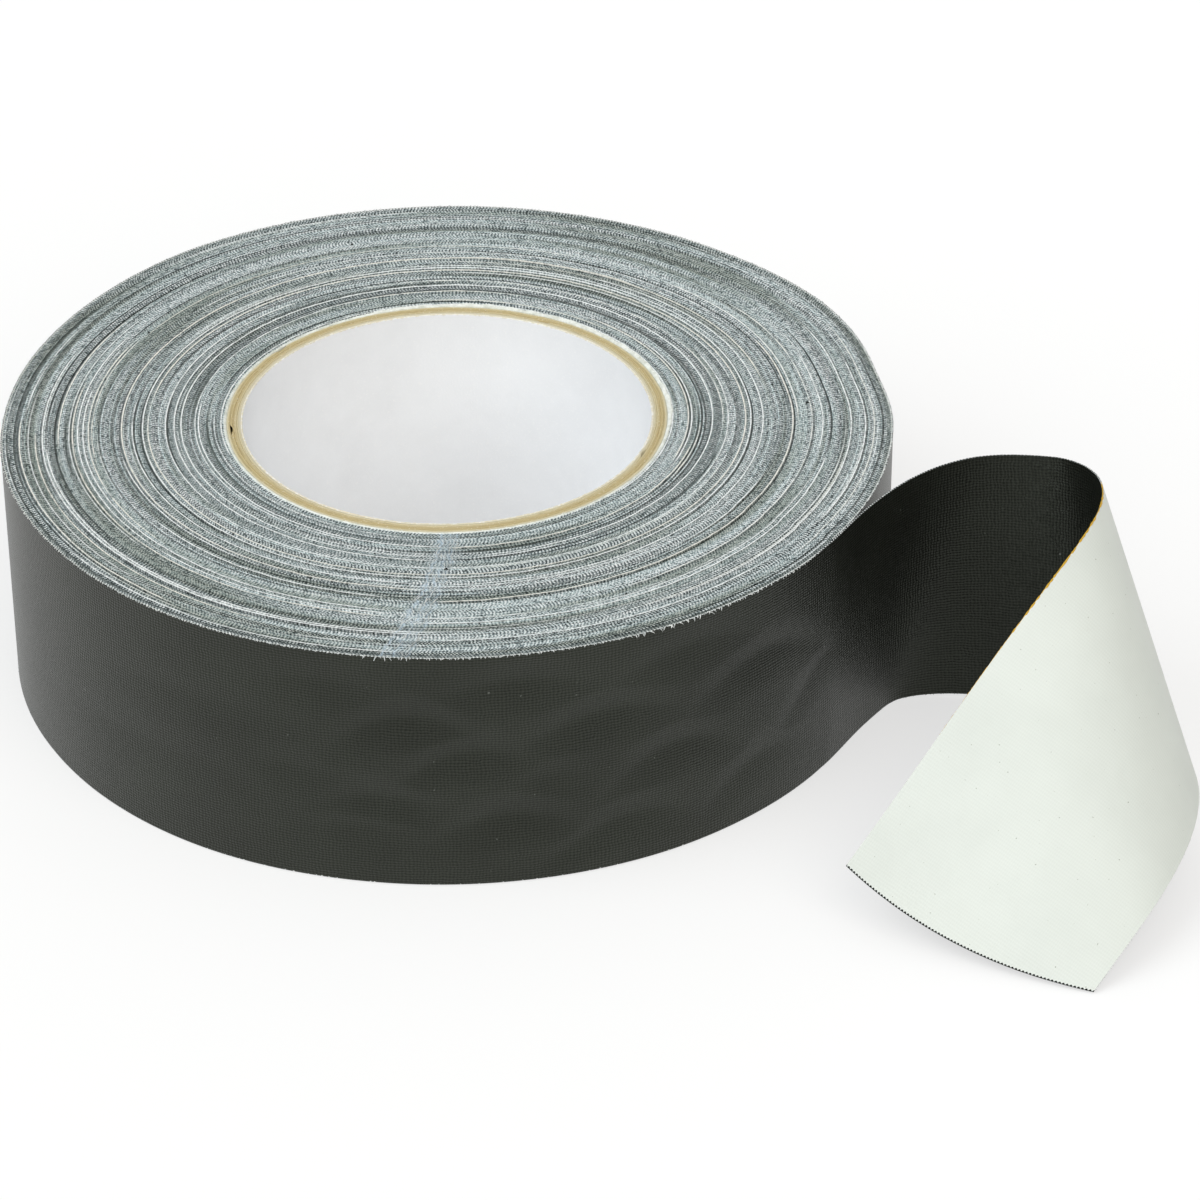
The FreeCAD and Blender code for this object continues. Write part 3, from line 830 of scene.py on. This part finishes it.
def makeTail():
    half = web["width"] / 2
    columns = 2 * round(half / yarn["cutPitch"]) * 2 + 1
    side = closeEnds(np.linspace(-half, half, columns))
    pinked = np.where(np.arange(columns) % 2, tail["pinkDepth"], -tail["pinkDepth"]) / 2
    pinked = np.concatenate([pinked[:1], pinked, pinked[-1:]])
    end = cutLength(side, pinked)
    share = closeEnds(np.linspace(0, 1, tail["rows"]), 0.0002)
    length = -web["bondedEnd"] + (end[None] + web["bondedEnd"]) * share[:, None]
    sideGrid = np.broadcast_to(side, length.shape)
    faces = np.cumsum((0,) + web["layers"]) - roll["web"] / 2
    rows, columns = length.shape
    # at the cut the coat ends straight, a little past the yarns, and the rubber stops short
    last = share[:, None] > 0.999    # the cut's own row and its support row move together
    coatLength = length + last * (tail["coatPast"] - pinked)
    coatFace = tailPoint(coatLength, sideGrid, faces[3]).reshape(-1, 3)
    gumFace = tailPoint(length - last * tail["gumShort"], sideGrid, faces[0]).reshape(-1, 3)
    count = rows * columns
    index = np.arange(count).reshape(rows, columns)
    edge = np.concatenate([index[:-1, 0], index[-1, :-1], index[:0:-1, -1], index[0, :0:-1]])
    edgeLength, edgeSide = length.ravel()[edge], sideGrid.ravel()[edge]
    rings = [tailPoint(edgeLength, edgeSide, face) for face in (faces[2], faces[1])]
    order = np.arange(len(edge))
    onCut = (order >= rows - 1) & (order < rows - 1 + columns - 1)
    agedFrom, agedTo = tail["aged"]
    aged = (edgeSide > half - 0.01) & (edgeLength > agedFrom) & (edgeLength < agedTo)
    # 0 coat, 1 adhesive, 2 slit cloth, 3 cut cloth, 4 aged rubber
    coatQuads = gridFaces(rows, columns)
    gumQuads = gridFaces(rows, columns, start=count)[:, ::-1]
    quads = [coatQuads, gumQuads]
    kinds = [np.zeros(len(coatQuads), int), np.ones(len(gumQuads), int)]
    loops = [edge, 2 * count + order, 2 * count + len(edge) + order, edge + count]
    for (upper, lower), kind in zip(zip(loops, loops[1:]), (0, 2, 2)):
        quads.append(np.stack([upper, lower, np.roll(lower, -1), np.roll(upper, -1)], -1))
        kinds.append(np.where((kind == 2) & onCut, 3, np.where((kind > 0) & aged, 4, kind)))
    quads = np.concatenate(quads)
    flatPlaces = np.stack([length.ravel(), sideGrid.ravel() + half], -1)
    flatPlaces = np.concatenate([flatPlaces, flatPlaces, flatPlaces[edge], flatPlaces[edge]])
    piece = makeMesh("tail", np.concatenate([coatFace, gumFace] + rings), quads,
                     [blackCoat, adhesive, slitCloth, cutCloth, agedRubber],
                     faceMaterial=np.concatenate(kinds), uv=flatPlaces[quads.ravel()],
                     smooth=np.arange(len(quads)) < len(coatQuads) + len(gumQuads))
    area = np.mean(cutLength(side, 0) + web["bondedEnd"]) * web["width"]
    return closeShell(piece), float(area) * mm * mm


tailPiece, tailArea = makeTail()
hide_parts("tail_adhesive", "tail_cloth", "tail_coat")
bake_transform(tailPiece)
print("tail")


core = {
    "bore": 38.1,
    "liner": 0.35,
    "ply": 0.66,
    "plies": 4,
    "facing": 0.5,
    "gap": 0.06,          # between the edges of one spiral-wound strip, measured up the core
    "pitch": 110.0,
    "seams": (-20.0, 63.7, -172.6, 142.4),   # where each strip's edges meet at the top
    "slit": 0.46,         # how far the strip thins towards its edges
    "thinned": 2.0,       # over this many degrees
    "columns": 200,
    "levels": 25,
    "worn": 0.08,         # how far the corners are worn off
    "burr": 0.05,         # how uneven the knife left the cut
    "burrWaves": (2, 3, 5, 9, 17),    # in the round
}


lip = {
    "arc": (-10, 110, 40),    # where the facing paper is torn most: from, to, softness
    "elsewhere": 0.15,        # share of that in the rest of the round
    "ripples": (37, 23),      # waves in the round that beat against each other
    "outward": 0.7,
    "upward": 0.26,
}


def tornLip(azimuth, z):
    # the facing paper torn out over the first turns: how far outward and how far up
    torn = lip["elsewhere"] + (1 - lip["elsewhere"]) * arcShare(azimuth, *lip["arc"])
    quick, slow = (np.radians(azimuth) * waves for waves in lip["ripples"])
    torn = torn * (0.7 + 0.3 * (np.sin(quick) * np.sin(slow + 1)))
    share = smoothStep(roll["height"] - 0.2, roll["height"] - 0.01, z)
    return lip["outward"] * torn * share, lip["upward"] * torn * share


def makeTube(name, inner, outer, material, seed, seam=None, crown=0.0, flare=None):
    # a paper tube with worn corners and an uneven cut; seam is the azimuth of its butt gap
    # at the top, crown how far its cut is domed, flare what its outer side does there
    chance = np.random.default_rng(seed)
    top = roll["height"]
    worn = min(core["worn"], (outer - inner) / 4)
    middle = (inner + outer) / 2
    levels = np.linspace(worn, top - worn, core["levels"])
    profile = [(inner, z) for z in levels]
    profile += [(inner + worn, top), (middle, top + crown), (outer - worn, top)]
    profile += [(outer, z) for z in levels[::-1]]
    profile += [(outer - worn, 0), (middle, 0), (inner + worn, 0)]
    columns = core["columns"] if seam is not None else 2 * core["columns"]
    gap = 0 if seam is None else core["gap"] / core["pitch"] * 360
    around = np.linspace(gap / 2, 360 - gap / 2, columns, endpoint=seam is not None)
    thin = np.zeros(columns)
    if seam is not None:
        # more columns where the strip thins towards the seam
        close = np.linspace(0, 2 * core["thinned"], 9)[1:]
        around = np.sort(np.concatenate([around[0] + close, around[-1] - close,
                                         around[[0, -1]], around[3:-3]]))
        columns = len(around)
        fromEdge = np.minimum(around, 360 - around)
        thin = core["slit"] * np.exp(-(fromEdge / core["thinned"]) ** 4)
    sway = sum(chance.uniform(0.3, 1)
               * np.sin(np.radians(around) * count + chance.uniform(0, 6.28))
               for count in core["burrWaves"]) / 3
    rows = []
    for radius, z in profile:
        azimuth = around + (0 if seam is None else seam + 360 * (z - top) / core["pitch"])
        cut = smoothStep(top - 0.5, top, z)
        rise = cut * core["burr"] * (sway + chance.normal(0, 0.5, columns))
        radius = radius - thin * (radius > inner + worn)
        spread, reared = flare(azimuth, z) if flare else (0, 0)
        rows.append(roundPoints(radius + spread * (radius > inner + worn), azimuth,
                                z + rise + reared))
    points = np.array(rows)
    quads = gridFaces(*points.shape[:2], joinRows=True, joinColumns=seam is None)
    outward = quads[:, [0, 3, 2, 1]]
    piece = makeMesh(name, points.reshape(-1, 3), outward, [material], smooth=False)
    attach(closeShell(piece), "roll")
    return piece


radius = core["bore"] + core["liner"]
liner = makeTube("linerTube", core["bore"], radius, linerPaper, 11)
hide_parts("core_liner")
for ply in range(core["plies"]):
    tube = makeTube("kraftPly%d" % (ply + 1), radius, radius + core["ply"], kraftBoard,
                    20 + ply, seam=core["seams"][ply], crown=0.04)
    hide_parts("core_ply_%d" % (ply + 1))
    radius += core["ply"]
facing = makeTube("facingTube", radius, radius + core["facing"], facingPaper, 31, crown=0.12,
                  flare=tornLip)
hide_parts("core_facing")
print("core")


def makeStrands(name, strands, material):
    # strands are (points in mm, radii in mm); each becomes a tapered, closed four-sided thread
    angle = math.pi / 2 * np.arange(4)[:, None]
    points, faces, first = [], [], 0
    for line, radii in strands:
        line = np.asarray(line, float)
        ways = np.gradient(line, axis=0)
        ways /= np.linalg.norm(ways, axis=1, keepdims=True)
        aside = np.cross(ways, (0, 0, 1) if abs(ways[0, 2]) < 0.9 else (1, 0, 0))
        aside /= np.linalg.norm(aside, axis=1, keepdims=True)
        aside, over = aside[:, None], np.cross(ways, aside)[:, None]
        rings = np.asarray(radii)[:, None, None] * (aside * np.cos(angle) + over * np.sin(angle))
        points.append((line[:, None] + rings).reshape(-1, 3))
        faces.append(gridFaces(len(line), 4, first, joinColumns=True))
        last = first + 4 * len(line)
        faces.append([range(first, first + 4)[::-1], range(last - 4, last)])
        first = last
    return closeShell(makeMesh(name, np.concatenate(points), np.concatenate(faces), [material]))


rimYarns = {
    "seed": 41,
    "thickness": 0.13,
    "root": -0.15,        # how far down the slit edge each end starts
    "outside": 0.17,      # how far outside the turns below the last one it does so
    "missing": 0.2,       # share of the ends that the knife took off flush
    "missingBelow": 0.7,  # share of the rest that are gone from the underside
    # arcs where the knife dragged the ends out over the rim: from, to, how far
    "dragged": [(-67, -51, 0.75), (-99, -93, 0.8), (-50, -38, 0.35), (-92, -70, 0.2),
                (150, 200, 0.2)],
    "everywhere": 0.08,
    "rise": (0.02, 0.16),     # how far the ends stand up
    "uneven": (0.7, 1.15),    # how their thickness varies
}


def makeRimYarns():
    chance = np.random.default_rng(rimYarns["seed"])
    strands = []
    rim = 2 * math.pi * roll["woundRadius"]
    steps = np.arange(0, rim - 8, yarn["weft"]) / roll["woundRadius"]
    for azimuth in roll["peel"] + 2 + steps * 180 / math.pi:
        for top in (True, False):
            if (chance.uniform() < rimYarns["missing"]
                    or not top and chance.uniform() < rimYarns["missingBelow"]):
                continue
            dragged = sum(far * float(arcShare(azimuth, start, end, 3))
                          for start, end, far in rimYarns["dragged"])
            drag = rimYarns["everywhere"] + dragged * chance.uniform(0.1, 1) * top
            middle = float(packRadius(azimuth)) + rimYarns["outside"]
            twist = chance.normal(0, 0.15) + chance.normal(0, 0.5) * drag
            rise = chance.uniform(*rimYarns["rise"])
            thick = rimYarns["thickness"] * chance.uniform(*rimYarns["uneven"])
            # up out of the slit edge, then out and down the further it was dragged
            heights = np.array([rimYarns["root"], rise, rise - 0.1 * drag, -0.6 * drag])
            reach = np.array([0, 0.02, 0.12 + 0.35 * drag, 0.16 + 0.55 * drag])
            bearing = azimuth + np.array([0, 0.2, 0.6, 1.0]) * twist
            z = roll["height"] + heights if top else np.maximum(-0.6 * heights, 0.06)
            line = roundPoints(middle + reach, bearing, z)
            strands.append((line, thick * np.array([1, 1, 0.8, 0.35])))
    return makeStrands("rimYarns", strands, fuzz)


rimPiece = makeRimYarns()
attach(rimPiece, "roll")

tailYarns = {
    "seed": 43,
    "thickness": 0.11,
    "cutThickness": 0.8,  # share of that for the ends along the cut
    "root": 0.2,          # how far inside the web each end starts
    "reach": 0.16,
    "slitSpread": (0.4, 1.3),     # how that varies along the slit edges
    "cutSpread": (0.5, 1.3),      # and along the cut
    "uneven": (0.7, 1.1),         # how their thickness varies
    "first": 0.475,       # from the bonded end to the first one
    "clear": 0.3,         # the slit edges' ends stop this short of the cut
}


def makeTailYarns():
    chance = np.random.default_rng(tailYarns["seed"])
    half = web["width"] / 2
    root = tailYarns["root"]
    strands = []
    for side, way in ((-half, -1), (half, 1)):
        stop = cutLength(side, 0) - tailYarns["clear"]
        for at in np.arange(-web["bondedEnd"] + tailYarns["first"], stop, yarn["weft"]):
            if side > 0 and at > tail["aged"][0]:   # the oozed rubber hides them from here on
                break
            reach = tailYarns["reach"] * chance.uniform(*tailYarns["slitSpread"]) * way
            lift = chance.normal(0.01, 0.04)
            lengths = at + np.array([0, 0, chance.normal(0, 0.1)])
            line = tailPoint(lengths, np.array([side - root * way, side, side + reach]),
                             np.array([0.02, 0.02, lift]))
            thick = tailYarns["thickness"] * chance.uniform(*tailYarns["uneven"])
            strands.append((line, thick * np.array([1, 1, 0.5])))
    for across in np.arange(-half + yarn["cutPitch"] / 2, half - 0.1, yarn["cutPitch"]):
        end = cutLength(across, 0)
        reach = tailYarns["reach"] * chance.uniform(*tailYarns["cutSpread"])
        line = tailPoint(np.array([end - root, end, end + reach]), np.full(3, across),
                         np.array([0.02, 0.02, chance.normal(0.01, 0.03)]))
        thick = tailYarns["cutThickness"] * tailYarns["thickness"]
        strands.append((line, thick * np.array([1, 1, 0.5])))
    return makeStrands("tailYarns", strands, fuzz)


tailYarnPiece = makeTailYarns()
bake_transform(tailYarnPiece)

oozedRubber = {
    "seed": 59,
    "until": 136.0,
    "step": 0.5,
    "radius": 0.19,
    "inFrom": 0.08,       # its middle lies this far outward of the adhesive's face
    "tapers": (6, 34),    # over these lengths it swells and dies away
}


def makeOozedRubber():
    # a bead of aged rubber squeezed out along the tail's upper slit edge
    chance = np.random.default_rng(oozedRubber["seed"])
    at = np.arange(tail["aged"][0], oozedRubber["until"], oozedRubber["step"])
    side = web["width"] / 2 + chance.uniform(-0.02, 0.05, len(at))
    line = tailPoint(at, np.round(side, 2), -roll["web"] / 2 + oozedRubber["inFrom"])
    swell, fade = oozedRubber["tapers"]
    ends = smoothStep(0, swell, at - at[0]) * smoothStep(0, fade, at[-1] - at)
    radii = oozedRubber["radius"] * (0.25 + 0.75 * ends) * chance.uniform(0.4, 1.25, len(at))
    return makeStrands("oozedRubber", [(line, radii)], agedRubber)


oozePiece = makeOozedRubber()
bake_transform(oozePiece)

# crumbs of black coat left on the top face: across, away and along each one
coatCrumbs = [(1.2, -53.7, 0.8), (67.3, 4.0, 0.6), (-58.0, 31.0, 0.4), (33.0, -62.0, 0.4),
              (-20.5, 66.0, 0.5)]
crumbLines = []
for x, y, long in coatCrumbs:
    line = np.array([(x - long / 2, y, 0.12), (x, y + 0.05, 0.26), (x + long / 2, y, 0.12)])
    crumbLines.append((line + (0, 0, roll["height"]), (0.1, 0.24, 0.08)))
crumbPiece = makeStrands("coatCrumbs", crumbLines, blackCoat)
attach(crumbPiece, "roll")

drawnFibre = {
    "seed": 53,
    "count": 150,
    "streaks": 3,         # how many of the rubbed streaks they lie in
    "radius": (0.03, 0.09),
    "share": (0.01, 0.07),    # how much of a streak each covers
    "shortest": 0.005,        # a shorter share than this is left out
    "from": -42,          # how far forward the streaks' fibres start, and over what length
    "over": 40,
    "aside": 0.35,        # how far they lie off the streak's middle, and how they slant
    "slant": 0.25,
    "crest": (0.18, 0.3),
}


def makeDrawnFibre():
    # threads of rubber and lint lying along the streaks where the roll was rubbed
    chance = np.random.default_rng(drawnFibre["seed"])
    strands = []
    for fibre in range(drawnFibre["count"]):
        start, end, bow = rubbing["streaks"][chance.integers(0, drawnFibre["streaks"])][:3]
        share = chance.uniform(0, 1) + np.array([0, 0.5, 1]) * chance.uniform(*drawnFibre["share"])
        share = np.clip(share, 0, 0.99)
        share[1] = (share[0] + share[2]) / 2
        x = start + (end - start) * share + bow * share * (1 - share)
        x = x + chance.normal(0, drawnFibre["aside"])
        x = x + np.array([-1, 0, 1]) * chance.normal(0, drawnFibre["slant"])
        y = drawnFibre["from"] - share * drawnFibre["over"]
        if share[2] - share[0] < drawnFibre["shortest"]:
            continue
        z = roll["height"] + np.array([0.1, chance.uniform(*drawnFibre["crest"]), 0.1])
        thick = chance.uniform(*drawnFibre["radius"])
        strands.append((np.stack([x, y, z], -1), thick * np.array([0.5, 1, 0.5])))
    return makeStrands("drawnFibre", strands, fuzz)


drawnPiece = makeDrawnFibre()
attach(drawnPiece, "roll")

paperFray = {
    "seed": 47,
    "count": 700,
    # arcs where the facing paper was torn thickest: from, to, share of the fibres
    "thick": [(20, 90, 0.6), (100, 180, 0.15), (0, 360, 0.25)],
    "length": (0.2, 0.8),
    "foot": (-0.2, 0.25),     # how far from the middle of the paper each is rooted
    "tip": (0.02, 0.3),       # how far up it ends
    "radii": (0.045, 0.04, 0.02),
}


def makePaperFray():
    chance = np.random.default_rng(paperFray["seed"])
    strands = []
    inside = core["bore"] + core["liner"] + core["plies"] * core["ply"]
    middle = inside + core["facing"] * 0.5
    for start, end, share in paperFray["thick"]:
        for fibre in range(int(paperFray["count"] * share)):
            azimuth = chance.uniform(start, end)
            long = chance.uniform(*paperFray["length"])
            bearing = azimuth + np.array([0, 0.4, 0.9]) * chance.normal(0, 1.0)
            foot = middle + chance.uniform(*paperFray["foot"])
            reach = foot + np.array([0, 0.2, 0.5]) * chance.normal(0.3, 0.5) * long
            z = roll["height"] + np.array([-0.1, 0.12, chance.uniform(*paperFray["tip"])])
            strands.append((roundPoints(reach, bearing, z), np.array(paperFray["radii"])))
    return makeStrands("paperFray", strands, facingPaper)


frayPiece = makePaperFray()
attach(frayPiece, "roll")
print("yarns and fibre")
